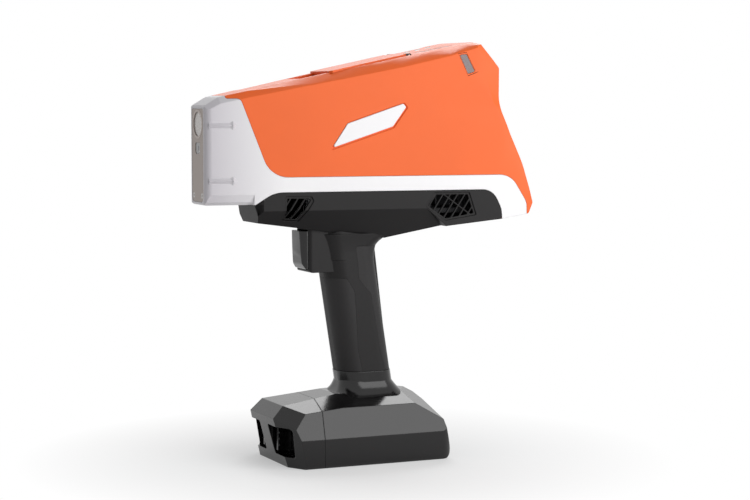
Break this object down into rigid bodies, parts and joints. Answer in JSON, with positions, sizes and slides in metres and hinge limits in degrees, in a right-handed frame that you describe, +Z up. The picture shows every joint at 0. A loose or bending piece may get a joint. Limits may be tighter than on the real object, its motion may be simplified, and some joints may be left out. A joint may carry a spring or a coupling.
{
  "type": "handheld XRF analyzer",
  "caption": "Pistol-grip X-ray fluorescence analyzer with measuring nose, rear screen and keys, trigger, port door and a foot whose battery pulls out forwards.",
  "frame": {"origin": "centre of the foot's flat underside, under the middle of the foot", "axes": "+Z up, -X towards the measuring nose, +X towards the screen and the user, +Y to the right of a user behind the screen"},
  "size_m": [0.2344, 0.083, 0.2904],
  "materials": {
    "cover_orange": "satin moulded orange",
    "nose_white": "satin off-white moulding",
    "satin_black": "satin black moulding",
    "gloss_black": "glossy black moulding",
    "grip_rubber": "soft moulded rubber",
    "plate_metal": "fine brushed",
    "window_film": "thin pale film",
    "screw_steel": "plated",
    "latch_plastic": "polished black",
    "smoked_lens": "smoked lens",
    "light_lens": "frosted light guide",
    "screen_glass": "dark cover glass",
    "display_black": "moulded black",
    "board_green": "solder mask",
    "cell_wrap": "shrink wrap",
    "beam_brass": "machined",
    "sink_aluminium": "machined",
    "foil_metal": "thin foils",
    "motor_steel": "drawn can",
    "tube_sleeve": "coated sleeve",
    "potting_grey": "potted block"
  },
  "bodies": {
    "housing": {"aiming_camera": "smoked_lens", "base_housing": "gloss_black", "beam_block": "beam_brass", "blank_plates": "nose_white", "chassis_frame": "sink_aluminium", "detector": "motor_steel", "display_glass": "screen_glass", "display_module": "display_black", "dock_contacts": "display_black", "face_plate_screws": "screw_steel", "fan_frame": "display_black", "filter_motor": "motor_steel", "front_grip_pad": "grip_rubber", "front_vent_left": "satin_black", "front_vent_right": "satin_black", "handle_left": "satin_black", "handle_right": "satin_black", "heat_sink": "sink_aluminium", "housing_screws": "screw_steel", "hv_supply": "potting_grey", "io_door_pin": "screw_steel", "io_ports": "board_green", "io_tray": "satin_black", "keypad_board": "board_green", "main_board": "board_green", "nose_body": "nose_white", "nose_face_plate": "plate_metal", "rear_grip_pad": "grip_rubber", "rear_panel": "satin_black", "rear_vent_left": "satin_black", "rear_vent_right": "satin_black", "side_lights": "smoked_lens", "top_light_bars": "light_lens", "trigger_spring": "screw_steel", "trigger_switch": "display_black", "tube_clamp": "sink_aluminium", "upper_cover": "cover_orange", "window_film": "window_film", "window_ring": "plate_metal", "xray_tube": "tube_sleeve"},
    "trigger": {"trigger": "gloss_black"},
    "battery": {"battery_cap": "gloss_black", "battery_case": "display_black", "battery_cells": "cell_wrap", "battery_board": "board_green"},
    "latch_left": {"latch_left": "latch_plastic"},
    "latch_right": {"latch_right": "latch_plastic"},
    "io_door": {"io_door": "cover_orange"},
    "fan_rotor": {"fan_rotor": "display_black"},
    "filter_wheel": {"filter_wheel": "sink_aluminium", "filter_foils": "foil_metal"},
    "key_back": {"key_back": "gloss_black"},
    "key_down": {"key_down": "gloss_black"},
    "key_home": {"key_home": "gloss_black"},
    "key_left": {"key_left": "gloss_black"},
    "key_power": {"key_power": "gloss_black"},
    "key_right": {"key_right": "gloss_black"},
    "key_select": {"key_select": "gloss_black"},
    "key_up": {"key_up": "gloss_black"}
  },
  "joints": [
    {"name": "trigger_pull", "type": "slide", "parent": "housing", "child": "trigger", "axis": [1, 0, 0], "range_m": [0, 0.0045], "stiffness_N_per_m": 600, "springref_m": -0.002, "deforming": ["trigger_spring"]},
    {"name": "battery_slide", "type": "slide", "parent": "housing", "child": "battery", "axis": [-1, 0, 0], "range_m": [0, 0.12]},
    {"name": "latch_left_press", "type": "slide", "parent": "battery", "child": "latch_left", "axis": [0, 1, 0], "range_m": [0, 0.002], "stiffness_N_per_m": 500, "springref_m": -0.002},
    {"name": "latch_right_press", "type": "slide", "parent": "battery", "child": "latch_right", "axis": [0, -1, 0], "range_m": [0, 0.002], "stiffness_N_per_m": 500, "springref_m": -0.002},
    {"name": "io_door_hinge", "type": "hinge", "parent": "housing", "child": "io_door", "pos_m": [0.04018, 0, 0.28104], "axis": [0, 1, 0], "range_deg": [0, 95]},
    {"name": "fan_spin", "type": "hinge", "parent": "housing", "child": "fan_rotor", "pos_m": [0.0665, 0, 0.18], "axis": [0, 0, 1], "continuous": true},
    {"name": "filter_wheel_turn", "type": "hinge", "parent": "housing", "child": "filter_wheel", "pos_m": [-0.087, 0.0032, 0.238], "axis": [1, 0, 0], "continuous": true},
    {"name": "key_back_press", "type": "slide", "parent": "housing", "child": "key_back", "axis": [-0.9762, 0, -0.2169], "range_m": [0, 0.0008], "stiffness_N_per_m": 900, "springref_m": -0.0006},
    {"name": "key_down_press", "type": "slide", "parent": "housing", "child": "key_down", "axis": [-0.9762, 0, -0.2169], "range_m": [0, 0.0008], "stiffness_N_per_m": 900, "springref_m": -0.0006},
    {"name": "key_home_press", "type": "slide", "parent": "housing", "child": "key_home", "axis": [-0.9762, 0, -0.2169], "range_m": [0, 0.0008], "stiffness_N_per_m": 900, "springref_m": -0.0006},
    {"name": "key_left_press", "type": "slide", "parent": "housing", "child": "key_left", "axis": [-0.9762, 0, -0.2169], "range_m": [0, 0.0008], "stiffness_N_per_m": 900, "springref_m": -0.0006},
    {"name": "key_power_press", "type": "slide", "parent": "housing", "child": "key_power", "axis": [-0.9762, 0, -0.2169], "range_m": [0, 0.0008], "stiffness_N_per_m": 900, "springref_m": -0.0006},
    {"name": "key_right_press", "type": "slide", "parent": "housing", "child": "key_right", "axis": [-0.9762, 0, -0.2169], "range_m": [0, 0.0008], "stiffness_N_per_m": 900, "springref_m": -0.0006},
    {"name": "key_select_press", "type": "slide", "parent": "housing", "child": "key_select", "axis": [-0.9762, 0, -0.2169], "range_m": [0, 0.0008], "stiffness_N_per_m": 900, "springref_m": -0.0006},
    {"name": "key_up_press", "type": "slide", "parent": "housing", "child": "key_up", "axis": [-0.9762, 0, -0.2169], "range_m": [0, 0.0008], "stiffness_N_per_m": 900, "springref_m": -0.0006}
  ]
}
